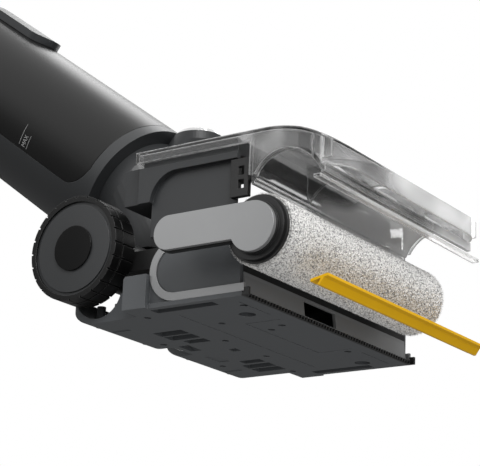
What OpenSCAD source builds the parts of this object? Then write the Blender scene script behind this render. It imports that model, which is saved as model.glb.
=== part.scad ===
// Wet dry floor scrubber. X runs along the brush roller, Y to the back, Z up.
// The origin is the centre of the base plate's flat underside.
// The pieces that lift off by hand stand off from their seats at rest.

/* [Head] */
// Length of the brush roller
roller_len = 258; // [240:1:270]
// Radius of the roller over its pile
roller_r = 31.5; // [29:0.5:33]
// Radius of the roller's core tube
core_r = 21; // [18:0.5:24]
// Roller axis in front of the base plate's centre
roller_y = -96; // [-100:1:-94]
// Half width of the base plate at the front
base_half = 140; // [136:1:146]
// How far the rear corners stand out past that
base_step = 4; // [3:0.5:6]
// Depth of the base plate from the comb to its rear edge
base_depth = 130; // [124:1:134]
// Wall of the moulded base
wall = 3; // [2.4:0.1:4]
// Height of the base's side walls
side_h = 60; // [56:1:62]
// Height of the front suction wall
front_h = 18; // [16:0.5:20]

/* [Travel] */
// How far the base plate hangs below its seat
base_drop = 17; // [10:1:20]
// How far the brush cover is lifted off
cover_lift = 40; // [20:1:42]
// How far the roller is pulled out of its socket
roller_pull = 25; // [10:1:28]
// How far the scraper strip stands in front of its seat
strip_pull = 33; // [20:1:33]
// How far the splash lip stands in front of its seat
lip_pull = 5; // [4:1:12]

/* [Wheels] */
// Radius of a rear wheel
wheel_r = 48; // [42:1:50]
// Width of a rear wheel
wheel_w = 27; // [20:1:30]
// Wheel axle behind the base plate's centre
axle_y = 112; // [110:1:118]
// Radius of the axle
axle_r = 6; // [5:0.5:8]
// Radial play of every running fit
play = 0.06; // [0.03:0.01:0.1]

/* [Cover] */
// How far the brush cover reaches past the chassis on each side
cover_over = 12.3; // [10:0.1:15]
// Inner radius of the channel over the roller
channel_r = 34; // [33.5:0.5:36]
// Wall of the clear cover
clear_wall = 2.5; // [2:0.1:3]
// Height of the cover's top above the channel's centre line
cover_top = 56; // [50:1:58]
// Radius of the cover's front corners
corner_r = 38; // [20:1:44]

/* [Body] */
// Tilt of the body above the floor at rest
tilt = 36; // [34:1:38]
// Radius of the body across the tank
body_r = 71; // [66:1:74]
// Distance of the body's centre line in front of the hinge
body_offset = 54; // [50:1:56]
// Start of the body's shells along it from the hinge
body_start = 108; // [106:1:114]
// Length of the dirty-water tank
tank_len = 299; // [270:5:320]
// Length of the upper shell above the tank's lid
upper_len = 88; // [80:1:100]
// Length of the handle tube above the body
tube_len = 360; // [320:5:420]
// Radius of the handle tube
tube_r = 15; // [13:0.5:17]

/* [Hidden] */
// Clearance under the base once the machine is put together
ride_gap = 2.5;
// Gap between neighbouring faces that may move past each other
slip = 0.3;
roller_z = base_drop + roller_r - ride_gap;
axle_z = base_drop + wheel_r - ride_gap;
base_front = -base_depth / 2;
base_rear = base_depth / 2;
plate_t = wall + 1;

// Base
tail_x = 68;
tail_half = 52;
tail_rear = 134;
web_rear = 97;
tail_r = 9;
tail_h = 24;
saddle_y = 104;
saddle_r = 26;
saddle_z = 30;
bulge_rear = axle_y - wheel_r - 7;
bulge_h = 30;
panel_t = 2.5;
panel_low = plate_t;
panel_r = (side_h - panel_low) / 2;
panel_z = panel_low + panel_r;
panel_y = 4;
panel_front = base_front + 3;
bulge_front = panel_y + panel_r + slip;
trim_w = 7;
trim_reach = 5;
boss_x = 100;
boss_y = [-44, -22];
boss_r = 5;
boss_grip = 8;
peg_x = 34;
peg_y = 10;
peg_r = 4;
peg_top = 20;
tooth_pitch = 4.5;
hook_h = 7;
window_h = 11;
mouth_x = -17;
mouth_w = 52;
mouth_low = plate_t + 1.5;
mouth_h = 14;
front_y = roller_y + roller_r + 1.5;
bar_h = 5;

// Arm that carries the roller, seen from the left
arm_x = -base_half - slip - roller_pull;
arm_body_t = 5;
arm_cover_t = 4;
arm_reach = 84;
arm_pill_r = 16.2;
arm_disc_r = 22.5;
arm_pill_z = arm_disc_r - arm_pill_r;
flange_r = roller_r - 2.5;
flange_t = 3;
roller_x = arm_x + slip;
hub_reach = 8;

// Drive end of the roller
bracket_gap = 18.3;
bracket_x = base_half - bracket_gap;
bracket_t = 3.4;
hub_r = 9.5;
pulley_r = 8;
pulley_t = 3;
shaft_r = 5;
drum_r = 12;
socket_depth = hub_reach + roller_pull + 2;

// Chassis block behind the roller
chassis_half = bracket_x;
chassis_gap = 8.5;
chassis_rise = 38;
chassis_front = roller_y + roller_r + chassis_gap;
chassis_rear = 40;
chassis_low = base_drop + plate_t + 2;
chassis_top = roller_z + chassis_rise;
barrel_r = 24;
neck_half = 40;
arm_low = axle_z - 19.5;
arm_high = axle_z - 1.5;
duct_len = 60;
duct_h = 18;

// Motor in the chassis
motor_r = 22;
motor_len = 120;
motor_y = chassis_rear - motor_r - 6;
motor_z = chassis_top - motor_r - 6;

// Brush cover, in the roller's own Y and Z
channel_y = -3;
channel_z = 5 + cover_lift;
deck_z = channel_z + cover_top;
cover_half = chassis_half + cover_over;
cover_front = -54;
cover_rear = 155;
nose_rear = channel_y + channel_r + 2;
crown_start = 20;
crown_r = 130;
rim_h = 10;
skirt_front = 51;
skirt_rear = 140;
recess_r = 28;
deck_t = 15;
notch_half = 64;
notch_front = 58;
housing_half = cover_half - clear_wall - 2;
skirt_t = 3.5;
skirt_low = 23;
cheek_low = deck_z - 47;
cheek_rear = bulge_rear - roller_y;
block_t = 34;
lip_low = channel_z + 9;
clip_y = 44;
clip_z = deck_z - 39.3;
clip_rise = 17;
strip_y = -50.3;
strip_w = 16.6;
strip_t = 2.4;
strip_rise = 3.3;
strip_leg = 8;
strip_seat = -3.1;
strip_z = strip_seat - strip_pull;

// Wheels
wheel_x = chassis_half + slip;
tyre_t = 5;
disc_r = wheel_r - tyre_t;
cap_r = 20.5;
lug_count = 24;

// Body, along its own axis from the hinge
collar_start = body_start - 32;
collar_len = 16;
collar_r = body_r - 13;
seam_z = body_offset - 24;
tank_start = body_start - 2;
tank_bend = 30;
tank_end = tank_start + tank_len;
tank_wall = 2.5;
lid_t = 18;
clean_inset = 142;
clean_over = 67;
clean_start = tank_start + clean_inset;
clean_end = tank_end + clean_over;
upper_start = tank_end + lid_t + slip;
upper_rear_start = clean_end + slip;
body_end = upper_start + upper_len;
swivel_y = collar_start + collar_len + slip;
spine_half = 48;
spine_t = 12;
clean_top = seam_z - spine_t - slip - tank_wall;
clean_cap_t = 8;
display_half = 24;
display_inset = 14;
display_depth = 2;
socket_r = tube_r + 4;
socket_len = 30;
cone_len = 26;
tube_grip = 10;
tube_wall = 1.5;
tube_end = body_end + tube_len;
well_rise = 14;
well_r = body_r / 2;
latch_inset = 95;
latch_start = tank_end - latch_inset;
latch_len = 92;
latch_half = 20;
latch_proud = 8;
// Larger than the body, for boxes that cut it in two
far = 4 * body_r;
grip_len = 130;
grip_r = 17;
grip_lift = 34;
knuckle_r = 24;
knuckle_y = 70;
knuckle_rise = 78;
knuckle_h = 8;
knuckle_z = body_offset + knuckle_rise;
power_at = tube_end + 38;
clean_at = tube_end + 66;
button_r = 7;
button_travel = 1.5;

$fn = 64;

// ---------- helpers ----------

module along_x(x0, x1) {
    translate([x0, 0, 0]) rotate([90, 0, 90]) linear_extrude(x1 - x0) children();
}

module both_sides() {
    children();
    mirror([1, 0, 0]) children();
}

module rod_x(r, x0, x1) {
    translate([x0, 0, 0]) rotate([0, 90, 0]) cylinder(r = r, h = x1 - x0);
}

module rod_y(r, y0, y1) {
    translate([0, y0, 0]) rotate([-90, 0, 0]) cylinder(r = r, h = y1 - y0);
}

// A rectangle from corner to corner
module rect(a, b) {
    translate(a) square([b[0] - a[0], b[1] - a[1]]);
}

// A rectangle from corner to corner with round corners
module round_rect(a, b, r) {
    rect([a[0] + r, a[1]], [b[0] - r, b[1]]);
    rect([a[0], a[1] + r], [b[0], b[1] - r]);
    for (x = [a[0] + r, b[0] - r], y = [a[1] + r, b[1] - r]) translate([x, y]) circle(r = r);
}

// A bar with round ends between two points on one level
module pill(y0, y1, z, r) {
    rect([y0, z - r], [y1, z + r]);
    for (y = [y0, y1]) translate([y, z]) circle(r = r);
}

module at_roller() {
    translate([0, roller_y, roller_z]) children();
}

module at_axle() {
    translate([0, axle_y, axle_z]) children();
}

// The body's frame: Y along the body, Z square to it, from the hinge
module in_body() {
    at_axle() rotate([tilt, 0, 0]) children();
}

// ---------- base ----------

module base_plan() {
    rect([-base_half, base_front], [base_half, bulge_rear]);
    rect([-base_half - base_step, bulge_front], [base_half + base_step, bulge_rear]);
    rect([-tail_x - tail_half, bulge_front], [tail_x + tail_half, base_rear]);
    rect([-tail_x, base_rear - 1], [tail_x, web_rear]);
}

module tail_plan() {
    for (s = [-1, 1])
        round_rect([s * tail_x - tail_half, 20], [s * tail_x + tail_half, tail_rear], tail_r);
}

module tail_side() {
    difference() {
        union() {
            rect([base_rear - 8, 0], [tail_rear - tail_h, tail_h]);
            translate([tail_rear - tail_h, tail_h]) intersection() {
                circle(r = tail_h);
                rect([-1, -tail_h], [tail_h, 0]);
            }
        }
        translate([saddle_y, saddle_z]) circle(r = saddle_r);
    }
}

screw_r = 3.4;
screw_xy = [[-114, 52], [-70, 4], [-112, -48], [-16, 38], [-28, 99], [68, 100], [51, 38],
            [115, 50], [68, -41], [-32, -23], [-41, -40]];

// Slots and holes through the plate
module base_cuts() {
    for (s = [-1, 1]) rect([s * 128.5 - 5.5, -31], [s * 128.5 + 5.5, 34]);
    rect([-17, 79], [5, 91]);
    rect([12, 46], [22, 55]);
    for (p = [[-86, -34], [113, -30]]) translate(p) circle(r = 7.5);
}

// Windows that run back under the tails
module base_windows() {
    for (x = [-52.5, 88.5]) rect([x - 15.5, 50], [x - 1, 82]);
    for (x = [-52.5, 88.5]) rect([x + 1, 50], [x + 15.5, 82]);
    for (x = [-27, 63]) rect([x - 6, 50], [x + 6, 74]);
}

// Shallow seams in the plate's underside
module base_seams() {
    for (s = [-1, 1]) {
        rect([s * 88 - 3, 92], [s * 88 + 3, 128]);
        rect([s * 100 - 24, -52], [s * 100 + 24, -50.8]);
        rect([s * 60 - 0.6, -50], [s * 60 + 0.6, -14]);
    }
    rect([29, 80], [53, 93]);
    rect([-60, -15], [60, -13.8]);
    rect([-110, 20], [110, 21.2]);
}

module base_plate() {
    color([0.17, 0.18, 0.19]) difference() {
        union() {
            linear_extrude(plate_t) base_plan();
            intersection() {
                linear_extrude(tail_h) tail_plan();
                along_x(-tail_x - tail_half, tail_x + tail_half) tail_side();
            }
            both_sides() {
                // side wall that carries the side panel
                along_x(-base_half + panel_t, -base_half + panel_t + wall) {
                    panel_outline(panel_r);
                    rect([panel_front, 0], [bulge_front + 1, bulge_h - 2]);
                }
                // block at the rear corner
                along_x(-base_half - base_step, -base_half + panel_t + wall)
                    polygon([[bulge_front, 0], [bulge_rear, 0], [bulge_rear, bulge_h - 2],
                             [bulge_rear - 2, bulge_h], [bulge_front, bulge_h]]);
            }
            both_sides() {
                // guide bosses that slide in the chassis
                for (y = boss_y) translate([-boss_x, y, 0])
                    cylinder(r = boss_r, h = chassis_low + boss_grip);
            }
            // pegs in the saddles
            for (s = [-1, 1], x = [-peg_x, peg_x], y = [-peg_y, peg_y])
                translate([s * tail_x + x, saddle_y + y, 1]) cylinder(r = peg_r, h = peg_top - 1);
        }
        translate([0, 0, -1]) linear_extrude(plate_t + 2) base_cuts();
        translate([0, 0, -1]) linear_extrude(window_h + 1) base_windows();
        translate([0, 0, -1]) linear_extrude(1.8) base_seams();
        for (p = screw_xy) translate([p[0], p[1], -1]) cylinder(r = screw_r, h = plate_t + 2);
    }
}

// Pill-shaped panel on each side, open to the front
module side_panels() {
    color([0.2, 0.21, 0.22]) both_sides()
        along_x(-base_half + panel_t / 2, -base_half + panel_t)
            panel_outline(panel_r - trim_w - slip);
}

module side_trims() {
    color([0.5, 0.52, 0.54]) both_sides()
        along_x(-base_half, -base_half + panel_t) difference() {
            union() {
                panel_outline(panel_r);
                rect([panel_front - trim_reach, panel_low], [panel_front + 1, panel_low + trim_w]);
            }
            panel_outline(panel_r - trim_w);
            // the roller's arm covers the upper run
            rect([panel_front - 1, panel_z], [panel_y - trim_w, side_h + 1]);
        }
}

module panel_outline(r) {
    rect([panel_front, panel_z - r], [panel_y, panel_z + r]);
    translate([panel_y, panel_z]) circle(r = r);
}

// Suction wall behind the roller, with the mouth in it
module front_wall() {
    color([0.5, 0.51, 0.52]) difference() {
        along_x(-base_half + panel_t + wall, base_half - panel_t - wall)
            polygon([[base_front, plate_t], [base_front + wall, plate_t],
                     [front_y + wall, plate_t + front_h - 3], [front_y + wall, plate_t + front_h],
                     [front_y, plate_t + front_h], [front_y, plate_t + front_h - 3]]);
        translate([mouth_x - mouth_w / 2, base_front - 5, mouth_low])
            cube([mouth_w, 20, mouth_h]);
    }
}

module squeegee_bar() {
    color([0.05, 0.05, 0.05])
        along_x(-base_half + panel_t + wall, base_half - panel_t - wall)
            rect([front_y, plate_t + front_h], [front_y + wall, plate_t + front_h + bar_h]);
}

// Toothed strip along the front edge
module comb_strip() {
    color([0.12, 0.12, 0.13]) {
        translate([-base_half, base_front - 2, 0]) cube([2 * base_half, 2, plate_t - 1]);
        for (x = [-base_half + tooth_pitch : tooth_pitch : base_half - tooth_pitch])
            translate([x - 1, base_front - 4, 0]) cube([2, 2, plate_t - 1]);
        // corner hooks
        both_sides() translate([-base_half, base_front - 7, 0]) cube([2.5, 5, hook_h]);
    }
}

module base_screws() {
    color([0.1, 0.1, 0.11]) for (p = screw_xy) translate([p[0], p[1], 1]) difference() {
        cylinder(r = screw_r, h = plate_t - 1.5);
        translate([0, 0, -1]) cylinder(r = 1.2, h = 2, $fn = 6);
    }
}

// ---------- chassis ----------

module chassis() {
    color([0.15, 0.16, 0.17]) difference() {
        union() {
            translate([-chassis_half, chassis_front, chassis_low])
                cube([2 * chassis_half, chassis_rear - chassis_front, chassis_top - chassis_low]);
            for (s = [-1, 1]) {
                x0 = s > 0 ? neck_half + slip : -chassis_half + 3;
                x1 = s > 0 ? chassis_half - 3 : -neck_half - slip;
                along_x(x0, x1) {
                    rect([chassis_rear - 1, arm_low], [axle_y, arm_high]);
                    translate([axle_y, axle_z]) circle(r = barrel_r);
                }
            }
        }
        at_axle() rod_x(axle_r + play, -chassis_half - 1, chassis_half + 1);
        for (s = [-1, 1], y = boss_y) translate([s * boss_x, y, chassis_low - 1])
            cylinder(r = boss_r + play, h = boss_grip + base_drop + 4);
        motor_seat(play, chassis_half - motor_len, chassis_half + 1);
        // hollow over the suction duct
        translate([mouth_x - mouth_w / 2, chassis_front - 1, chassis_low - 1])
            cube([mouth_w, duct_len, duct_h]);
    }
}

module motor_seat(extra, x0, x1) {
    translate([0, motor_y, motor_z]) rod_x(motor_r + extra, x0, x1);
}

module drive_motor() {
    color([0.55, 0.55, 0.57]) motor_seat(0, chassis_half - motor_len, chassis_half - 1);
}

module drive_bracket() {
    color([0.13, 0.13, 0.14]) at_roller() difference() {
        along_x(bracket_x, bracket_x + bracket_t) {
            rect([0, 0.5], [skirt_front - 2, hub_r]);
            circle(r = hub_r);
        }
        rod_x(shaft_r + play, bracket_x - 1, bracket_x + bracket_t + 1);
    }
}

module axle() {
    color([0.6, 0.6, 0.62]) at_axle() rod_x(axle_r, -wheel_x - wheel_w + 4, wheel_x + wheel_w - 4);
}

// ---------- wheels ----------

module tyre() {
    rotate([0, 90, 0]) difference() {
        cylinder(r = wheel_r, h = wheel_w, $fn = 96);
        translate([0, 0, -1]) cylinder(r = disc_r, h = wheel_w + 2, $fn = 96);
        for (i = [0 : lug_count - 1]) rotate([0, 0, i * 360 / lug_count])
            translate([wheel_r - 1.6, -0.8, -1]) cube([3, 1.6, wheel_w + 2]);
        translate([0, 0, 0.35 * wheel_w]) difference() {
            cylinder(r = wheel_r + 1, h = 1.6, $fn = 96);
            translate([0, 0, -1]) cylinder(r = wheel_r - 1.4, h = 4, $fn = 96);
        }
    }
}

module wheel_disc() {
    difference() {
        union() {
            rod_x(disc_r, 2, wheel_w);
            rod_x(disc_r - 3, 0.8, 3);
        }
        rod_x(axle_r + play, -1, wheel_w + 1);
    }
}

module wheel_cap() {
    rod_x(cap_r, -1, 0.8 - 0.02);
}

// Wheels are drawn with their outer face at zero, facing left
module left_wheel() {
    at_axle() translate([-wheel_x - wheel_w, 0, 0]) children();
}

module right_wheel() {
    mirror([1, 0, 0]) left_wheel() children();
}

module tyre_left() {
    color([0.06, 0.06, 0.06]) left_wheel() tyre();
}

module wheel_disc_left() {
    color([0.2, 0.21, 0.21]) left_wheel() wheel_disc();
}

module wheel_cap_left() {
    color([0.03, 0.03, 0.03]) left_wheel() wheel_cap();
}

module tyre_right() {
    color([0.06, 0.06, 0.06]) right_wheel() tyre();
}

module wheel_disc_right() {
    color([0.2, 0.21, 0.21]) right_wheel() wheel_disc();
}

module wheel_cap_right() {
    color([0.03, 0.03, 0.03]) right_wheel() wheel_cap();
}

// ---------- roller and its arm ----------

module arm_outline(grow) {
    pill(0, arm_reach, arm_pill_z, arm_pill_r + grow);
    circle(r = arm_disc_r + grow);
}

module arm_body() {
    color([0.06, 0.06, 0.07]) at_roller() difference() {
        union() {
            along_x(arm_x - arm_body_t, arm_x) arm_outline(0);
            along_x(arm_x - arm_body_t / 2, arm_x) circle(r = flange_r - 2);
        }
        rod_x(shaft_r, arm_x - arm_body_t / 2, arm_x + 1);
    }
}

module arm_cover() {
    color([0.5, 0.52, 0.53]) at_roller()
        along_x(arm_x - arm_body_t - arm_cover_t, arm_x - arm_body_t) arm_outline(-1.2);
}

module arm_axle() {
    color([0.6, 0.6, 0.62]) at_roller() rod_x(shaft_r, arm_x - arm_body_t / 2, arm_x + 24);
}

module roller_core() {
    color([0.25, 0.25, 0.26]) at_roller() difference() {
        rod_x(core_r, roller_x + flange_t, roller_x + roller_len);
        rod_x(shaft_r + play, roller_x, roller_x + roller_len + 1);
        // socket that slides over the drive drum
        rod_x(drum_r + play, roller_x + roller_len - socket_depth, roller_x + roller_len + 1);
    }
}

module roller_flange() {
    color([0.05, 0.05, 0.05]) at_roller() difference() {
        rod_x(flange_r, roller_x, roller_x + flange_t);
        rod_x(shaft_r + play, roller_x - 1, roller_x + flange_t + 1);
    }
}

module roller_pile() {
    color([0.75, 0.75, 0.76]) at_roller() difference() {
        rod_x(roller_r, roller_x + flange_t, roller_x + roller_len);
        rod_x(core_r, roller_x, roller_x + roller_len + 1);
    }
}

module drive_hub() {
    color([0.3, 0.3, 0.31]) at_roller() {
        rod_x(drum_r, roller_x + roller_len - hub_reach, bracket_x - slip);
        rod_x(shaft_r, bracket_x - slip - 1, bracket_x + bracket_t + slip);
        rod_x(pulley_r, bracket_x + bracket_t + slip, bracket_x + bracket_t + slip + pulley_t);
    }
}

// ---------- brush cover ----------

module neck_notch(half) {
    translate([-half, notch_front, deck_z - rim_h - 60]) cube([2 * half, 200, 120]);
}

module top_housing() {
    color([0.14, 0.15, 0.16]) at_roller() difference() {
        union() {
            translate([0, 0, deck_z - clear_wall - slip - deck_t]) linear_extrude(deck_t)
                rect([-housing_half, skirt_front - 3], [housing_half, cheek_rear - 4]);
            // rear block
            along_x(-chassis_half, chassis_half) {
                rect([skirt_rear + 1, cheek_low + 3],
                     [skirt_rear + 1 + block_t, deck_z - rim_h - slip]);
                rect([skirt_rear + 1, cheek_low + 3],
                     [cover_rear - clear_wall - slip, deck_z - clear_wall - slip]);
            }
            both_sides() {
                // side skirt that slides down over the chassis
                along_x(-chassis_half - slip - skirt_t, -chassis_half - slip)
                    rect([skirt_front, skirt_low], [skirt_rear + 1, deck_z - deck_t]);
                // cheek with its round corner
                along_x(-housing_half - 1.5, -chassis_half - slip - skirt_t) difference() {
                    rect([skirt_front - 3, cheek_low], [cheek_rear, deck_z - deck_t]);
                    recess();
                }
            }
        }
        neck_notch(notch_half - 2);
    }
}

// Opening under the flange, with one round corner
module recess() {
    top = deck_z - deck_t - 6;
    rect([0, 0], [skirt_rear - recess_r, top]);
    rect([0, 0], [skirt_rear, top - recess_r]);
    translate([skirt_rear - recess_r, top - recess_r]) circle(r = recess_r);
}

// Side outline of the cover's outer skin
module cover_side(inset) {
    rect([crown_start, deck_z - 40], [cover_rear + 5, deck_z - inset]);
    intersection() {
        translate([crown_start, deck_z - crown_r]) circle(r = crown_r - inset, $fn = 128);
        rect([cover_front - 5, deck_z - 40], [crown_start, deck_z]);
    }
}

module cover_plan(inset) {
    a = cover_half - inset;
    f = cover_front + inset;
    r = corner_r - inset;
    rect([-a, f + r], [a, cover_rear - inset]);
    rect([-a + r, f], [a - r, f + r + 1]);
    for (s = [-1, 1]) translate([s * (a - r), f + r]) circle(r = r);
}

// Space that the cover's skin leaves free below its rim
module cover_under() {
    rect([nose_rear, 0], [cover_rear + 1, deck_z - rim_h]);
    rect([cover_front - 1, 0], [nose_rear + 1, channel_z + 12]);
    translate([channel_y, channel_z]) circle(r = channel_r);
}

module clear_cover() {
    color([0.8, 0.85, 0.88, 0.4]) at_roller() difference() {
        union() {
            // outer skin
            difference() {
                intersection() {
                    along_x(-cover_half, cover_half) cover_side(0);
                    translate([0, 0, lip_low]) linear_extrude(100) cover_plan(0);
                }
                intersection() {
                    along_x(-cover_half - 1, cover_half + 1) cover_side(clear_wall);
                    linear_extrude(200) cover_plan(clear_wall);
                }
                along_x(-cover_half - 1, cover_half + 1) cover_under();
            }
            // channel over the roller
            along_x(-cover_half + 5, cover_half - 5) difference() {
                translate([channel_y, channel_z]) circle(r = channel_r + clear_wall);
                translate([channel_y, channel_z]) circle(r = channel_r);
                rect([-80, 0], [80, lip_low + 3]);
            }
            // lips at the channel's two feet
            along_x(-cover_half + 5, cover_half - 5) {
                rect([channel_y + channel_r - 1, lip_low], [nose_rear, lip_low + 9]);
                rect([channel_y - channel_r - 3, lip_low], [channel_y - channel_r + 1, lip_low + 8]);
            }
            // ribs that tie the channel to the skin
            for (x = [-cover_half + 5, -45, 45, cover_half - 5 - 2]) along_x(x, x + 2)
                difference() {
                    intersection() {
                        cover_side(clear_wall / 2);
                        rect([cover_front + 8, lip_low + 3], [nose_rear - 0.5, 200]);
                    }
                    translate([channel_y, channel_z]) circle(r = channel_r + 1);
                    rect([-80, 0], [channel_y - channel_r + 1, lip_low + 12]);
                }
        }
        neck_notch(notch_half);
    }
}

// Latch at the front edge of the side skirt
module cover_latch() {
    along_x(-chassis_half - slip - skirt_t - 5, -chassis_half - slip - skirt_t) difference() {
        rect([clip_y - 8, clip_z - clip_rise], [clip_y + 10, clip_z + clip_rise]);
        rect([clip_y - 4, clip_z - 10], [clip_y + 2, clip_z - 2]);
        rect([clip_y - 4, clip_z + 2], [clip_y + 2, clip_z + 10]);
    }
}

module cover_latch_left() {
    color([0.05, 0.05, 0.05]) at_roller() cover_latch();
}

module cover_latch_right() {
    color([0.05, 0.05, 0.05]) at_roller() mirror([1, 0, 0]) cover_latch();
}

// Scraper strip that clips up under the front of the cover
module edge_strip() {
    color([0.85, 0.58, 0.02]) at_roller() translate([0, strip_y, strip_z]) {
        along_x(-base_half + 3, base_half - 5) {
            polygon([[0, 0], [0, -strip_t], [strip_w, -strip_t - strip_rise], [strip_w, -strip_rise]]);
            polygon([[3, -2], [6, -2.5], [strip_leg + 2, -strip_leg - 1], [strip_leg, -strip_leg - 1]]);
        }
        // ribs that clip into the cover
        for (x = [-120 : 24 : 120]) along_x(x - 1.5, x + 1.5)
            polygon([[5, -2], [strip_w - 2, -strip_rise - 1], [strip_leg + 1, -strip_leg]]);
    }
}

module splash_lip() {
    color([0.8, 0.85, 0.88, 0.4]) at_roller() along_x(-base_half, base_half)
        rect([channel_y - channel_r - 6, lip_low - lip_pull - slip - 3],
             [channel_y - channel_r + 1, lip_low - lip_pull - slip]);
}

// ---------- body ----------

module at_centre() {
    translate([0, 0, body_offset]) children();
}

module neck() {
    color([0.13, 0.13, 0.14]) in_body() difference() {
        union() {
            rod_x(barrel_r, -neck_half, neck_half);
            hull() {
                rod_x(barrel_r - 0.5, -neck_half + 2, neck_half - 2, $fn = 32);
                at_centre() rod_y(collar_r, collar_start, collar_start + collar_len / 2, $fn = 48);
            }
            at_centre() rod_y(collar_r, collar_start, collar_start + collar_len);
            // boss under the joint's cap, level at rest
            hull() {
                at_knuckle(-knuckle_h) cylinder(r = knuckle_r, h = knuckle_h, $fn = 48);
                translate([0, knuckle_y - 6, body_offset + 30]) cylinder(r = knuckle_r + 4, h = 4, $fn = 32);
            }
        }
        rod_x(axle_r + play, -neck_half - 1, neck_half + 1);
        // room for the chassis's two barrels
        both_sides() rod_x(barrel_r + 5, neck_half, chassis_half);
    }
}

module at_knuckle(drop) {
    translate([0, knuckle_y, knuckle_z]) rotate([-tilt, 0, 0]) translate([0, 0, drop]) children();
}

module knuckle_ring() {
    color([0.7, 0.7, 0.72]) in_body() at_knuckle(0) difference() {
        cylinder(r1 = knuckle_r, r2 = knuckle_r - 4, h = 4);
        translate([0, 0, -1]) cylinder(r = knuckle_r - 6, h = 6);
    }
}

module knuckle_cap() {
    color([0.03, 0.03, 0.03]) in_body() at_knuckle(0) cylinder(r1 = knuckle_r - 6, r2 = knuckle_r - 10, h = 5);
}

// Corner below the dirty-water tank's round lower end
module tank_corner(extra) {
    along_x(-far / 2, far / 2) difference() {
        rect([tank_start - 2, seam_z - 2], [tank_start + tank_bend, seam_z + tank_bend - 6]);
        translate([tank_start + tank_bend, seam_z + tank_bend]) circle(r = tank_bend + extra, $fn = 96);
    }
}

// D-shaped halves of the round body, split at the seam
module body_half(y0, y1, r, front) {
    intersection() {
        at_centre() rod_y(r, y0, y1, $fn = 96);
        if (front) translate([-far / 2, y0 - 1, seam_z + slip]) cube([far, y1 - y0 + 2, far]);
        else translate([-far / 2, y0 - 1, seam_z - far]) cube([far, y1 - y0 + 2, far]);
    }
}

module rear_shell() {
    color([0.16, 0.16, 0.17]) in_body() difference() {
        union() {
            at_centre() rod_y(body_r, swivel_y, tank_start - slip, $fn = 96);
            body_half(tank_start - 1, clean_start - slip, body_r, false);
            intersection() {
                at_centre() rod_y(body_r, tank_start - 1, tank_start + tank_bend, $fn = 96);
                tank_corner(slip);
            }
            // spine in front of the clean tank
            translate([-spine_half, clean_start - 1, seam_z - spine_t])
                cube([2 * spine_half, upper_rear_start - clean_start + 1, spine_t]);
        }
        at_centre() rod_y(body_r - wall, swivel_y + wall, tank_start - slip - wall, $fn = 96);
        intersection() {
            body_half(tank_start - wall, clean_start - slip - wall, body_r - wall, false);
            translate([-far / 2, 0, seam_z - wall - far]) cube([far, body_end, far]);
        }
    }
}

module upper_shell() {
    color([0.14, 0.14, 0.15]) in_body() difference() {
        union() {
            body_half(upper_start, upper_rear_start + 1, body_r, true);
            at_centre() {
                rod_y(body_r, upper_rear_start, body_end, $fn = 96);
                translate([0, body_end, 0]) rotate([-90, 0, 0])
                    cylinder(r1 = body_r, r2 = body_r / 2, h = cone_len, $fn = 96);
                rod_y(socket_r, body_end, body_end + cone_len + socket_len);
            }
        }
        at_centre() rod_y(body_r - wall, upper_rear_start + wall, body_end - wall, $fn = 96);
        intersection() {
            at_centre() rod_y(body_r - wall, upper_start + wall, upper_rear_start + 5, $fn = 96);
            translate([-far / 2, upper_start, seam_z + wall + slip]) cube([far, body_end, far]);
        }
        // way up into the tube socket
        at_centre() rod_y(tube_r - 3, body_end - wall - 1, body_end + cone_len, $fn = 48);
        at_centre() rod_y(tube_r + 0.02, body_end + cone_len - tube_grip,
                          body_end + cone_len + socket_len + 1);
        display_seat(play);
    }
}

module display_seat(extra) {
    at_centre() intersection() {
        difference() {
            rod_y(body_r + 1 + extra, upper_start + display_inset - extra,
                  body_end - display_inset + extra, $fn = 96);
            rod_y(body_r - display_depth, upper_start, body_end, $fn = 96);
        }
        translate([-display_half - extra, 0, 0])
            cube([2 * display_half + 2 * extra, tube_end, far]);
    }
}

module display() {
    color([0.02, 0.02, 0.03]) in_body() display_seat(0);
}

module dirty_tank() {
    color([0.09, 0.1, 0.11]) in_body() difference() {
        body_half(tank_start, tank_end, body_r, true);
        tank_corner(0);
        difference() {
            intersection() {
                at_centre() rod_y(body_r - tank_wall, tank_start + tank_wall, tank_end + 1, $fn = 96);
                translate([-far / 2, 0, seam_z + slip + tank_wall]) cube([far, body_end, far]);
            }
            tank_corner(-tank_wall);
        }
    }
}

module tank_lid() {
    color([0.13, 0.13, 0.14]) in_body()
        difference() {
            body_half(tank_end, tank_end + lid_t - slip, body_r, true);
            // float well, open to the tank
            at_centre() translate([0, 0, well_rise]) rod_y(well_r, tank_end - 1, tank_end + lid_t - wall);
        }
}

module tank_latch() {
    color([0.14, 0.14, 0.15]) in_body() at_centre() intersection() {
        difference() {
            rod_y(body_r + latch_proud, latch_start, latch_start + latch_len, $fn = 96);
            rod_y(body_r + slip, latch_start - 1, latch_start + latch_len + 1, $fn = 96);
        }
        translate([0, 0, body_r - latch_half]) linear_extrude(far) {
            translate([0, latch_start + latch_half]) circle(r = latch_half);
            rect([-latch_half, latch_start + latch_half], [latch_half, latch_start + latch_len]);
        }
    }
}

module clean_tank() {
    color([0.2, 0.21, 0.22]) in_body() difference() {
        body_half(clean_start, clean_end, body_r, false);
        // room for the spine
        translate([-spine_half - slip, clean_start - 1, seam_z - spine_t - slip])
            cube([2 * spine_half + 2 * slip, body_end, spine_t + 1]);
        intersection() {
            at_centre() rod_y(body_r - tank_wall, clean_start + tank_wall, clean_end + 1, $fn = 96);
            translate([-far / 2, 0, clean_top - far]) cube([far, body_end, far]);
        }
    }
}

module clean_tank_cap() {
    color([0.1, 0.1, 0.11]) in_body() intersection() {
        at_centre() rod_y(body_r - tank_wall, clean_end - clean_cap_t, clean_end, $fn = 96);
        translate([-far / 2, 0, clean_top - far]) cube([far, body_end, far]);
    }
}

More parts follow.
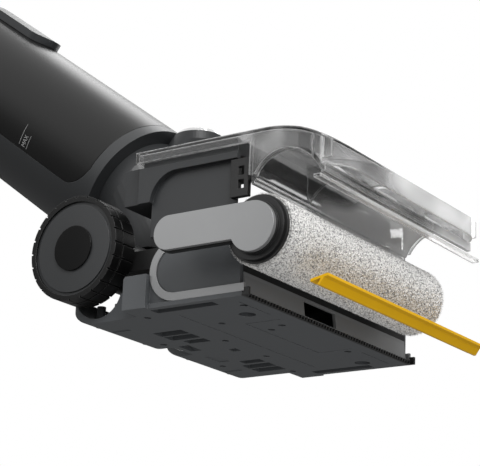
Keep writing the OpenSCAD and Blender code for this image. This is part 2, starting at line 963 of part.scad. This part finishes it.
module handle_tube() {
    color([0.5, 0.5, 0.52]) in_body() at_centre() difference() {
        rod_y(tube_r, body_end + cone_len - tube_grip, tube_end);
        rod_y(tube_r - tube_wall, body_end + cone_len - tube_grip - 1, tube_end + 1);
    }
}

module grip() {
    color([0.1, 0.1, 0.11]) in_body() at_centre() difference() {
        union() {
            rod_y(tube_r + 5, tube_end - 30, tube_end + 4);
            hull() {
                translate([0, tube_end, 0]) sphere(r = tube_r + 5, $fn = 32);
                translate([0, tube_end + grip_len * 0.55, grip_lift]) sphere(r = grip_r, $fn = 32);
            }
            hull() {
                translate([0, tube_end + grip_len * 0.55, grip_lift]) sphere(r = grip_r, $fn = 32);
                translate([0, tube_end + grip_len, grip_lift + 6]) sphere(r = grip_r - 1, $fn = 32);
            }
        }
        rod_y(tube_r, tube_end - 31, tube_end);
        button_hole(0.35, power_at);
        button_hole(0.35, clean_at);
    }
}

// Buttons sit in round wells on the grip's upper face
module button_hole(extra, y) {
    translate([0, y, button_base(y)]) cylinder(r = button_r + extra, h = 40);
}

function button_base(y) = min(grip_lift, (y - tube_end) * grip_lift / (grip_len * 0.55)) + 10;

module button(y) {
    in_body() at_centre() translate([0, y, button_base(y) + button_travel + slip])
        cylinder(r = button_r, h = 11.5);
}

module power_button() {
    color([0.75, 0.75, 0.76]) button(power_at);
}

module clean_button() {
    color([0.3, 0.3, 0.32]) button(clean_at);
}

base_plate();
front_wall();
comb_strip();
squeegee_bar();
side_panels();
side_trims();
base_screws();
chassis();
drive_motor();
drive_bracket();
axle();
top_housing();
clear_cover();
cover_latch_left();
cover_latch_right();
edge_strip();
splash_lip();
arm_body();
arm_cover();
arm_axle();
roller_core();
roller_flange();
roller_pile();
drive_hub();
tyre_left();
wheel_disc_left();
wheel_cap_left();
tyre_right();
wheel_disc_right();
wheel_cap_right();
neck();
knuckle_ring();
knuckle_cap();
rear_shell();
upper_shell();
dirty_tank();
tank_lid();
tank_latch();
clean_tank();
clean_tank_cap();
handle_tube();
grip();
display();
power_button();
clean_button();
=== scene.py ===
"""Wet dry floor scrubber: finishes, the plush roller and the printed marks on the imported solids."""

import math
import random

import bmesh
import bpy
from mathutils import Matrix, Vector, noise


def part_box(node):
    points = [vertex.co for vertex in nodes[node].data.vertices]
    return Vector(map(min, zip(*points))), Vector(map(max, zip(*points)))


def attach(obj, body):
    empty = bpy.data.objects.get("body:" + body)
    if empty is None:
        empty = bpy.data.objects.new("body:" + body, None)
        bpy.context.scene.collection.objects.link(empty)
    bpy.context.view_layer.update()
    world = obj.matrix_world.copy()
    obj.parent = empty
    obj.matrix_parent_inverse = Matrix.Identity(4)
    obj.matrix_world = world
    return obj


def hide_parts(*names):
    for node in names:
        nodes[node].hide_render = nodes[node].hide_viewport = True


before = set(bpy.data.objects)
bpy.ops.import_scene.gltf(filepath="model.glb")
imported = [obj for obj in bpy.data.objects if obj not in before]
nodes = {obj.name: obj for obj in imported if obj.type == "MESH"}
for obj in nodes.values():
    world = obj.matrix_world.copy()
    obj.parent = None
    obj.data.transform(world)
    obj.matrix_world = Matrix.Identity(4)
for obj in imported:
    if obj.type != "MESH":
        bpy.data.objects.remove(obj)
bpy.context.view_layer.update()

MM = 0.001


# ---------- shared shader groups ----------

def group(name, inputs, outputs):
    """A new shader node group with its sockets; returns the tree and its two end nodes."""
    tree = bpy.data.node_groups.new(name, "ShaderNodeTree")
    for label, kind, value in inputs:
        socket = tree.interface.new_socket(name=label, in_out="INPUT", socket_type=kind)
        socket.default_value = value
    for label, kind in outputs:
        tree.interface.new_socket(name=label, in_out="OUTPUT", socket_type=kind)
    return tree, tree.nodes.new("NodeGroupInput"), tree.nodes.new("NodeGroupOutput")


def place(tree, kind, inputs=None, **settings):
    """A node with its settings; inputs map a socket's name or number to a value or to another socket."""
    node = tree.nodes.new(kind)
    for key, value in settings.items():
        setattr(node, key, value)
    for key, value in (inputs or {}).items():
        if isinstance(value, bpy.types.NodeSocket):
            tree.links.new(value, node.inputs[key])
        else:
            node.inputs[key].default_value = value
    return node


def maths(tree, operation, a, b=0.0, clamp=False):
    return place(tree, "ShaderNodeMath", {0: a, 1: b}, operation=operation, use_clamp=clamp).outputs[0]


def blend_colours(tree, factor, a, b):
    mix = place(tree, "ShaderNodeMix", {0: factor, 6: a, 7: b}, data_type="RGBA")
    return mix.outputs[2]


FLOAT, COLOUR, VECTOR = "NodeSocketFloat", "NodeSocketColor", "NodeSocketVector"


def make_moulded_group():
    """Fine moulded grain, slow mottle and an edge colour for every hard piece: rubbed wear on most, a painted
    highlight on the clear plastics.
    """
    tree, start, end = group(
        "moulded surface",
        [("Colour", COLOUR, (0.1, 0.1, 0.1, 1)), ("Edge colour", COLOUR, (0.3, 0.3, 0.3, 1)),
         ("Edge wear", FLOAT, 0.3), ("Mottle", FLOAT, 0.1), ("Roughness", FLOAT, 0.5),
         ("Grain scale", FLOAT, 900.0), ("Grain depth", FLOAT, 0.15), ("Edge radius", FLOAT, 0.0006)],
        [("Colour", COLOUR), ("Roughness", FLOAT), ("Normal", VECTOR), ("Edge", FLOAT)])
    where = place(tree, "ShaderNodeTexCoord").outputs["Object"]
    cloud = place(tree, "ShaderNodeTexNoise", {"Vector": where, "Scale": 22.0, "Detail": 4.0}).outputs[0]
    edge_patches = place(tree, "ShaderNodeTexNoise", {"Vector": where, "Scale": 160.0, "Detail": 6.0}).outputs[0]
    grain = place(tree, "ShaderNodeTexNoise",
                  {"Vector": where, "Scale": start.outputs["Grain scale"], "Detail": 2.0}).outputs[0]
    rounded = place(tree, "ShaderNodeBevel", {"Radius": start.outputs["Edge radius"]}, samples=4).outputs[0]
    flat = place(tree, "ShaderNodeNewGeometry").outputs["Normal"]
    bend = place(tree, "ShaderNodeVectorMath", {0: rounded, 1: flat},
                 operation="DOT_PRODUCT").outputs["Value"]
    # edge mask: rubbed wear on most pieces, painted highlight lines on the clear plastics
    edge = maths(tree, "MULTIPLY", maths(tree, "SUBTRACT", 1.0, bend), 5.0, clamp=True)
    edge = maths(tree, "MULTIPLY", edge, maths(tree, "MULTIPLY", edge_patches, start.outputs["Edge wear"]))
    swing = maths(tree, "MULTIPLY", maths(tree, "SUBTRACT", cloud, 0.5), start.outputs["Mottle"])
    lift = maths(tree, "ADD", swing, 1.0)
    toned = place(tree, "ShaderNodeHueSaturation",
                  {"Value": lift, "Color": start.outputs["Colour"]}).outputs[0]
    colour = blend_colours(tree, edge, toned, start.outputs["Edge colour"])
    rough = maths(tree, "ADD", start.outputs["Roughness"], maths(tree, "MULTIPLY", swing, 0.5), clamp=True)
    bump = place(tree, "ShaderNodeBump",
                 {"Strength": start.outputs["Grain depth"], "Distance": 0.0004, "Height": grain,
                  "Normal": rounded}).outputs[0]
    tree.links.new(colour, end.inputs["Colour"])
    tree.links.new(rough, end.inputs["Roughness"])
    tree.links.new(bump, end.inputs["Normal"])
    tree.links.new(edge, end.inputs["Edge"])
    return tree


def make_brushed_group():
    """Fine lines along X with a slight change of tone, for metal that was brushed or drawn."""
    tree, start, end = group(
        "brushed lines",
        [("Colour", COLOUR, (0.5, 0.5, 0.5, 1)), ("Roughness", FLOAT, 0.3),
         ("Stretch", VECTOR, (4, 900, 900))],
        [("Colour", COLOUR), ("Roughness", FLOAT), ("Normal", VECTOR)])
    where = place(tree, "ShaderNodeTexCoord").outputs["Object"]
    drawn = place(tree, "ShaderNodeVectorMath", {0: where, 1: start.outputs["Stretch"]},
                  operation="MULTIPLY").outputs[0]
    lines = place(tree, "ShaderNodeTexNoise", {"Vector": drawn, "Scale": 1.0, "Detail": 3.0}).outputs[0]
    swing = maths(tree, "SUBTRACT", lines, 0.5)
    toned = place(tree, "ShaderNodeHueSaturation",
                  {"Value": maths(tree, "ADD", maths(tree, "MULTIPLY", swing, 0.25), 1.0),
                   "Color": start.outputs["Colour"]}).outputs[0]
    rough = maths(tree, "ADD", start.outputs["Roughness"], maths(tree, "MULTIPLY", swing, 0.2), clamp=True)
    rounded = place(tree, "ShaderNodeBevel", {"Radius": 0.0004}, samples=4).outputs[0]
    bump = place(tree, "ShaderNodeBump",
                 {"Strength": 0.08, "Distance": 0.0002, "Height": lines, "Normal": rounded}).outputs[0]
    tree.links.new(toned, end.inputs["Colour"])
    tree.links.new(rough, end.inputs["Roughness"])
    tree.links.new(bump, end.inputs["Normal"])
    return tree


MOULDED = make_moulded_group()
BRUSHED = make_brushed_group()


# ---------- finishes ----------

def finish(name, tree_group, values, **sockets):
    """A material whose group's colour, roughness and normal feed one Principled shader."""
    material = bpy.data.materials.new(name)
    material.use_nodes = True
    tree = material.node_tree
    shader = tree.nodes["Principled BSDF"]
    surface = place(tree, "ShaderNodeGroup", node_tree=tree_group)
    for label, value in values.items():
        surface.inputs[label].default_value = value
    tree.links.new(surface.outputs["Colour"], shader.inputs["Base Color"])
    tree.links.new(surface.outputs["Roughness"], shader.inputs["Roughness"])
    tree.links.new(surface.outputs["Normal"], shader.inputs["Normal"])
    for label, value in sockets.items():
        shader.inputs[label.replace("_", " ")].default_value = value
    return material


def grey(level, warm=0.0):
    return (level * (1 + warm), level, level * (1 - warm), 1)


def moulded(name, colour, roughness, edge=0.15, wear_and_glint=0.3, mottle=0.15, scale=1400.0, depth=0.12,
            radius=0.0006, **sockets):
    values = {"Colour": colour, "Edge colour": grey(edge), "Edge wear": wear_and_glint, "Mottle": mottle,
              "Roughness": roughness, "Grain scale": scale, "Grain depth": depth, "Edge radius": radius}
    return finish(name, MOULDED, values, **sockets)


def metal(name, colour, roughness):
    return finish(name, BRUSHED, {"Colour": colour, "Roughness": roughness}, Metallic=1.0)


FINISH = {
    "dark shell": moulded("dark shell", grey(0.03, -0.06), 0.42, edge=0.14),
    "neck shell": moulded("neck shell", grey(0.03, -0.05), 0.4, edge=0.12),
    "base grey": moulded("base grey", grey(0.085, -0.06), 0.5, edge=0.28, wear_and_glint=0.6),
    "wall grey": moulded("wall grey", grey(0.22, -0.02), 0.5, edge=0.5),
    "silver paint": moulded("silver paint", grey(0.33, -0.01), 0.36, edge=0.8, scale=4000.0, depth=0.05,
                            Metallic=0.55),
    "black trim": moulded("black trim", grey(0.009), 0.4, edge=0.08),
    "black gloss": moulded("black gloss", grey(0.003), 0.2, wear_and_glint=0.1, depth=0.02,
                           Specular_IOR_Level=0.25),
    "smoked tank": moulded("smoked tank", grey(0.006), 0.34, edge=0.0, wear_and_glint=1.5, mottle=0.1, depth=0.015,
                           radius=0.0014, Specular_IOR_Level=0.3),
    "yellow strip": moulded("yellow strip", (0.74, 0.41, 0.0, 1), 0.45, edge=0.6, wear_and_glint=0.2, depth=0.12,
                            Specular_IOR_Level=0.2),
    "soft rubber": moulded("soft rubber", grey(0.014), 0.7, depth=0.3),
    "tyre rubber": moulded("tyre rubber", grey(0.003), 0.36, edge=0.16, wear_and_glint=0.8, depth=0.2,
                           Specular_IOR_Level=0.35),
    "wheel grey": moulded("wheel grey", grey(0.03, -0.05), 0.34, edge=0.16),
    "brushed steel": metal("brushed steel", grey(0.5), 0.3),
    "drawn tube": metal("drawn tube", grey(0.32), 0.32),
    "chromed ring": metal("chromed ring", grey(0.6), 0.07),
    "core grey": moulded("core grey", grey(0.2), 0.5),
}

ACRYLIC_IOR = 1.49
ACRYLIC_ROUGHNESS = 0.05


def clear_plastic(name, dark, pale, stretch, haze):
    """Clear plastic in soft darker and paler bands; the turn from darker and clearer on the left to paler and
    milkier on the right is painted shade and light, and the pale, less clear edges are a painted highlight.
    """
    # painted highlight: the near-white edge colour and the strong edge mask draw bright lines along the rims
    material = moulded(name, grey(pale), ACRYLIC_ROUGHNESS, edge=0.95, wear_and_glint=1.3, mottle=0.0, depth=0.004,
                       radius=0.002, IOR=ACRYLIC_IOR)
    tree = material.node_tree
    shader = tree.nodes["Principled BSDF"]
    surface = next(node for node in tree.nodes if node.type == "GROUP")
    tree.links.remove(shader.inputs["Roughness"].links[0])
    shader.inputs["Roughness"].default_value = ACRYLIC_ROUGHNESS
    where = place(tree, "ShaderNodeTexCoord").outputs["Object"]
    drawn = place(tree, "ShaderNodeVectorMath", {0: where, 1: stretch}, operation="MULTIPLY").outputs[0]
    cloud = place(tree, "ShaderNodeTexNoise", {"Vector": drawn, "Scale": 1.0, "Detail": 1.0}).outputs[0]
    side = place(tree, "ShaderNodeSeparateXYZ", {0: where}).outputs["X"]
    # painted shade and light: along X the cover is pushed darker and clearer on the left and paler and
    # milkier on the right
    across = place(tree, "ShaderNodeMapRange",
                   {"Value": side, "From Min": -0.14, "From Max": 0.1, "To Min": -0.22,
                    "To Max": 0.18}).outputs[0]
    level = place(tree, "ShaderNodeMapRange",
                  {"Value": maths(tree, "ADD", cloud, across), "From Min": 0.36, "From Max": 0.64,
                   "To Min": 0.0, "To Max": 1.0}).outputs[0]
    tree.links.new(blend_colours(tree, level, grey(dark), grey(pale)), surface.inputs["Colour"])
    # painted highlight: the edge mask also makes the rims less clear; elsewhere the haze follows the bands
    painted_rim_glint_and_haze = maths(tree, "MAXIMUM", surface.outputs["Edge"], maths(tree, "MULTIPLY", level, haze))
    tree.links.new(maths(tree, "SUBTRACT", 1.0, painted_rim_glint_and_haze), shader.inputs["Transmission Weight"])
    return material


CLEAR = clear_plastic("clear cover", 0.5, 1.0, (9.0, 30.0, 16.0), 0.55)
CLEAR_LIP = clear_plastic("clear lip", 0.8, 1.0, (6.0, 60.0, 40.0), 0.4)

WEARS = {
    "dark shell": ("top_housing", "rear_shell", "upper_shell", "tank_lid", "tank_latch"),
    "neck shell": ("neck",),
    "base grey": ("base_plate", "side_panels"),
    "wall grey": ("front_wall", "clean_button"),
    "silver paint": ("side_trims", "arm_cover", "power_button"),
    "black trim": ("chassis", "base_screws", "comb_strip", "drive_bracket", "cover_latch_left",
                   "cover_latch_right", "arm_body", "roller_flange", "clean_tank_cap", "grip"),
    "soft rubber": ("squeegee_bar",),
    "tyre rubber": ("tyre_left", "tyre_right"),
    "wheel grey": ("wheel_disc_left", "wheel_disc_right"),
    "black gloss": ("wheel_cap_left", "wheel_cap_right", "knuckle_cap", "display"),
    "smoked tank": ("dirty_tank", "clean_tank"),
    "yellow strip": ("edge_strip",),
    "brushed steel": ("drive_motor", "drive_hub", "axle", "arm_axle"),
    "drawn tube": ("handle_tube",),
    "chromed ring": ("knuckle_ring",),
    "core grey": ("roller_core",),
}


def dress(node, material):
    mesh = nodes[node].data
    mesh.materials.clear()
    mesh.materials.append(material)


for label, names in WEARS.items():
    for node in names:
        dress(node, FINISH[label])
dress("clear_cover", CLEAR)
dress("splash_lip", CLEAR_LIP)


# ---------- plush roller ----------

PILE_DEPTH = 6 * MM
SKIN_DEPTH = 0.9 * MM
END_ROUND, END_DROP = 2.5 * MM, 2.2 * MM
FIBRES = 26000
END_SHARE = 0.12


def make_pile_finish():
    material = bpy.data.materials.new("plush pile")
    material.use_nodes = True
    tree = material.node_tree
    shader = tree.nodes["Principled BSDF"]
    where = place(tree, "ShaderNodeTexCoord").outputs["Object"]
    tufts = place(tree, "ShaderNodeTexVoronoi", {"Vector": where, "Scale": 640.0}).outputs["Distance"]
    fuzz = place(tree, "ShaderNodeTexNoise", {"Vector": where, "Scale": 1100.0, "Detail": 4.0}).outputs[0]
    # painted shade: the ramp darkens the gaps between tufts down to the roots; the pale tips and the random
    # tone are the pile's own colour
    depth = maths(tree, "ADD", maths(tree, "MULTIPLY", tufts, 0.9), maths(tree, "MULTIPLY", fuzz, 0.55))
    tip_colour_and_gap_shade = place(tree, "ShaderNodeValToRGB", {"Fac": depth})
    tip, root = tip_colour_and_gap_shade.color_ramp.elements
    tip.position, tip.color = 0.66, (0.8, 0.79, 0.775, 1)
    root.position, root.color = 0.98, (0.26, 0.26, 0.26, 1)
    tree.links.new(tip_colour_and_gap_shade.outputs[0], shader.inputs["Base Color"])
    bump = place(tree, "ShaderNodeBump", {"Strength": 0.6, "Distance": 0.0008, "Height": fuzz}).outputs[0]
    tree.links.new(bump, shader.inputs["Normal"])
    shader.inputs["Roughness"].default_value = 0.95
    shader.inputs["Sheen Weight"].default_value = 0.25
    shader.inputs["Specular IOR Level"].default_value = 0.1
    return material


def add_fibres(mesh, low, high, outer):
    """Loose fibre tips standing out of the pile, with a fringe that leans out over both ends."""
    seed = random.Random(11)
    for _ in range(FIBRES):
        if seed.random() < END_SHARE:
            side = seed.choice((-1, 1))
            x = (low if side < 0 else high) - side * seed.uniform(0, 1.5) * MM
            lean = side * seed.uniform(0.0, 2.0) * MM
        else:
            x, lean = seed.uniform(low, high), seed.uniform(-0.9, 0.9) * MM
        turn = seed.uniform(0, 2 * math.pi)
        twist = seed.uniform(-0.9, 0.9) * MM / outer
        root, tip = outer - 2.0 * MM, outer + seed.uniform(-0.5, 0.55) * MM
        width = seed.uniform(0.12, 0.26) * MM
        flat = seed.uniform(0, math.pi)
        points = []
        for s in (-1, 1):
            angle = turn + s * width * math.sin(flat) / outer
            points.append((x + s * width * math.cos(flat), root * math.cos(angle), root * math.sin(angle)))
        points.append((x + lean, tip * math.cos(turn + twist), tip * math.sin(turn + twist)))
        mesh.faces.new([mesh.verts.new(point) for point in points])


def make_pile():
    """The pile as a closed tube whose skin stands up in small uneven tufts."""
    low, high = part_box("roller_pile")
    outer = (high[2] - low[2]) / 2
    centre = Vector((0, (low[1] + high[1]) / 2, (low[2] + high[2]) / 2))
    inner = outer - PILE_DEPTH
    around, along = 250, 330
    seed = random.Random(7)
    rings = bmesh.new()
    profile = []
    steps = [low[0] + (high[0] - low[0]) * i / along for i in range(along + 1)]
    profile.append(rings.verts.new((steps[0], 0, inner)))
    for x in steps:
        from_end = min(x - steps[0], steps[-1] - x)
        corner = END_DROP * max(0.0, 1 - from_end / END_ROUND) ** 2
        profile.append(rings.verts.new((x, 0, outer - SKIN_DEPTH - corner)))
    profile.append(rings.verts.new((steps[-1], 0, inner)))
    loop = [rings.edges.new((a, b)) for a, b in zip(profile, profile[1:])]
    loop.append(rings.edges.new((profile[-1], profile[0])))
    bmesh.ops.spin(rings, geom=profile + loop, cent=(0, 0, 0), axis=(1, 0, 0), dvec=(0, 0, 0),
                   angle=2 * math.pi, steps=around, use_merge=True, use_duplicate=False)
    bmesh.ops.remove_doubles(rings, verts=rings.verts, dist=1e-6)
    for v in rings.verts:
        reach = math.hypot(v.co.y, v.co.z)
        if reach < inner + 1 * MM:
            continue
        tuft = noise.noise(v.co * 900) * 0.3
        rise = (tuft + seed.uniform(-0.75, 0.65)) * MM
        rise = max(-1.2 * MM, min(0.85 * MM, rise))
        v.co.y *= 1 + rise / reach
        v.co.z *= 1 + rise / reach
    bmesh.ops.recalc_face_normals(rings, faces=rings.faces)
    add_fibres(rings, low[0], high[0], outer)
    for v in rings.verts:
        v.co += centre
    mesh = bpy.data.meshes.new("plush_roller")
    rings.to_mesh(mesh)
    rings.free()
    piece = bpy.data.objects.new("plush_roller", mesh)
    bpy.context.scene.collection.objects.link(piece)
    mesh.materials.append(make_pile_finish())
    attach(piece, "roller")
    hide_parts("roller_pile")


make_pile()


# ---------- level mark on the tank ----------

BODY_TILT = math.radians(36)
BODY_OFFSET = 54 * MM
BODY_RADIUS = 71 * MM
LETTER_FOOT, LETTER_HEIGHT, LETTER_TURN = 200.6, 5.4, 2.5
HINGE = [sum(ends) / 2 for ends in zip(*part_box("axle"))]
LETTERS = {
    "M": [((0, 0), (0, 1)), ((0, 1), (0.5, 0.4)), ((0.5, 0.4), (1, 1)), ((1, 1), (1, 0))],
    "A": [((0, 0), (0.5, 1)), ((0.5, 1), (1, 0)), ((0.2, 0.38), (0.8, 0.38))],
    "X": [((0, 0), (1, 1)), ((0, 1), (1, 0))],
}


def on_body(angle, along, proud=0.06 * MM):
    """A point on the body's left side: angle in degrees down from its front line, distance from the hinge."""
    reach = BODY_RADIUS + proud
    turn = math.radians(angle)
    side, rise = -reach * math.sin(turn), BODY_OFFSET + reach * math.cos(turn)
    return Vector((side, HINGE[1] + along * math.cos(BODY_TILT) - rise * math.sin(BODY_TILT),
                   HINGE[2] + along * math.sin(BODY_TILT) + rise * math.cos(BODY_TILT)))


def stroke(mesh, start, end, half_width=0.22, pieces=8):
    """A thin printed line between two places, each given as an angle and millimetres along the body."""
    arc = math.degrees(MM / BODY_RADIUS)
    across = Vector(((end[0] - start[0]) / arc, end[1] - start[1])).normalized()
    across = Vector((-across.y * arc, across.x)) * half_width
    rows = []
    for i in range(pieces + 1):
        middle = Vector(start).lerp(Vector(end), i / pieces)
        rows.append([mesh.verts.new(on_body(middle.x + s * across.x, (middle.y + s * across.y) * MM))
                     for s in (-1, 1)])
    for a, b in zip(rows, rows[1:]):
        mesh.faces.new((a[0], a[1], b[1], b[0]))


def make_level_mark():
    marks = bmesh.new()
    stroke(marks, (106.6, 209.6), (89.3, 209.6))
    stroke(marks, (107.0, 197.4), (95.5, 197.4))
    for letter, left in (("M", 106.2), ("A", 102.9), ("X", 99.8)):
        for a, b in LETTERS[letter]:
            ends = [(left - LETTER_TURN * x, LETTER_FOOT + LETTER_HEIGHT * y) for x, y in (a, b)]
            stroke(marks, *ends, pieces=2)
    bmesh.ops.recalc_face_normals(marks, faces=marks.faces)
    mesh = bpy.data.meshes.new("level_mark")
    marks.to_mesh(mesh)
    marks.free()
    piece = bpy.data.objects.new("level_mark", mesh)
    bpy.context.scene.collection.objects.link(piece)
    mesh.materials.append(moulded("white print", grey(0.42), 0.5, edge=0.42, wear_and_glint=0.0, depth=0.02,
                                  radius=0.0001))
    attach(piece, "dirty_tank")


make_level_mark()


# ---------- stage, light and camera ----------

# azimuth, elevation and roll in degrees; the corner the camera aims past and its offset from there in mm
CAMERA_ANGLES = (-55.513, -17.385, 2.137)
OPEN_CORNER = (-163.8, -96.0, 46.0)
CAMERA_OFFSET = (1.9995, 1.38545, 1411.7908)
CAMERA_LENS = 131.0175
CAMERA_SHIFT = (-0.044, -0.0120417)


def make_floor():
    mesh = bpy.data.meshes.new("floor")
    plate = bmesh.new()
    bmesh.ops.create_grid(plate, x_segments=1, y_segments=1, size=6)
    bmesh.ops.translate(plate, verts=plate.verts, vec=(0, 0, -1 * MM))
    plate.to_mesh(mesh)
    plate.free()
    floor = bpy.data.objects.new("floor", mesh)
    bpy.context.scene.collection.objects.link(floor)
    material = bpy.data.materials.new("pale floor")
    material.use_nodes = True
    tree = material.node_tree
    shader = tree.nodes["Principled BSDF"]
    shader.inputs["Base Color"].default_value = grey(0.8)
    shader.inputs["Roughness"].default_value = 0.9
    clear = place(tree, "ShaderNodeBsdfTransparent").outputs[0]
    below = place(tree, "ShaderNodeNewGeometry").outputs["Backfacing"]
    looked_at = place(tree, "ShaderNodeLightPath").outputs["Is Camera Ray"]
    gone = maths(tree, "MAXIMUM", below, maths(tree, "SUBTRACT", 1.0, looked_at))
    mixed = place(tree, "ShaderNodeMixShader", {0: gone, 1: shader.outputs[0], 2: clear}).outputs[0]
    tree.links.new(mixed, tree.nodes["Material Output"].inputs["Surface"])
    mesh.materials.append(material)


def make_world():
    world = bpy.data.worlds.new("studio")
    bpy.context.scene.world = world
    world.use_nodes = True
    tree = world.node_tree
    back = tree.nodes["Background"]
    back.inputs["Color"].default_value = grey(1.0)
    path = place(tree, "ShaderNodeLightPath").outputs
    height = place(tree, "ShaderNodeSeparateXYZ",
                   {0: place(tree, "ShaderNodeTexCoord").outputs["Generated"]}).outputs["Z"]
    # reflections see a dark room with a pale ceiling
    room = place(tree, "ShaderNodeMapRange",
                 {"Value": height, "From Min": 0.22, "From Max": 0.55, "To Min": 0.15,
                  "To Max": 1.1}).outputs[0]
    soft = place(tree, "ShaderNodeMapRange",
                 {"Value": height, "From Min": -0.5, "From Max": 0.4, "To Min": 0.2,
                  "To Max": 0.68}).outputs[0]
    level = place(tree, "ShaderNodeMix", {0: path["Is Glossy Ray"], 2: soft, 3: room}).outputs[0]
    seen = maths(tree, "MAXIMUM", path["Is Camera Ray"], path["Is Transmission Ray"])
    tree.links.new(place(tree, "ShaderNodeMix", {0: seen, 2: level, 3: 1.0}).outputs[0],
                   back.inputs["Strength"])


def lamp(name, at, aim, size, power):
    data = bpy.data.lights.new(name, "AREA")
    data.shape = "RECTANGLE"
    data.size, data.size_y = size
    data.energy = power
    lamp_object = bpy.data.objects.new(name, data)
    bpy.context.scene.collection.objects.link(lamp_object)
    lamp_object.location = at
    lamp_object.rotation_euler = (Vector(aim) - Vector(at)).to_track_quat("-Z", "Y").to_euler()


def make_camera():
    """A long lens low on the left, looking up at the open front corner."""
    azimuth, elevation, roll = map(math.radians, CAMERA_ANGLES)
    back = Vector((math.sin(azimuth) * math.cos(elevation), -math.cos(azimuth) * math.cos(elevation),
                   math.sin(elevation)))
    level = back.cross(Vector((0, 0, -1))).normalized()
    up = level.cross(-back)
    right = level * math.cos(roll) + up * math.sin(roll)
    up = -level * math.sin(roll) + up * math.cos(roll)
    aside, above, away = CAMERA_OFFSET
    place_at = (Vector(OPEN_CORNER) + aside * right + above * up + away * back) * MM
    data = bpy.data.cameras.new("camera")
    data.lens = CAMERA_LENS
    data.shift_x, data.shift_y = CAMERA_SHIFT
    data.clip_start = 0.05
    camera = bpy.data.objects.new("camera", data)
    bpy.context.scene.collection.objects.link(camera)
    camera.matrix_world = Matrix((
        (right.x, up.x, back.x, place_at.x), (right.y, up.y, back.y, place_at.y),
        (right.z, up.z, back.z, place_at.z), (0, 0, 0, 1)))
    bpy.context.scene.camera = camera


make_floor()
make_world()
lamp("key", (-1.6, -1.4, 1.7), (0, 0, 0.1), (1.2, 1.2), 48)
lamp("top", (1.1, 0.75, 2.0), (0, 0.2, 0.2), (0.6, 0.9), 6)
lamp("low fill", (-0.6, -0.9, -1.6), (0, 0, 0.05), (1.4, 1.4), 13)
lamp("side glow", (-0.46, 0.2, 0.2), (-0.15, 0.0, 0.06), (0.2, 0.2), 0.1)
lamp("front", (-0.5, -1.1, 0.3), (0, 0, 0.06), (0.5, 0.3), 2.2)
lamp("far rim", (1.6, 0.4, 0.8), (0, 0, 0.1), (0.8, 1.4), 7)
make_camera()

bpy.context.scene.view_settings.view_transform = "Standard"
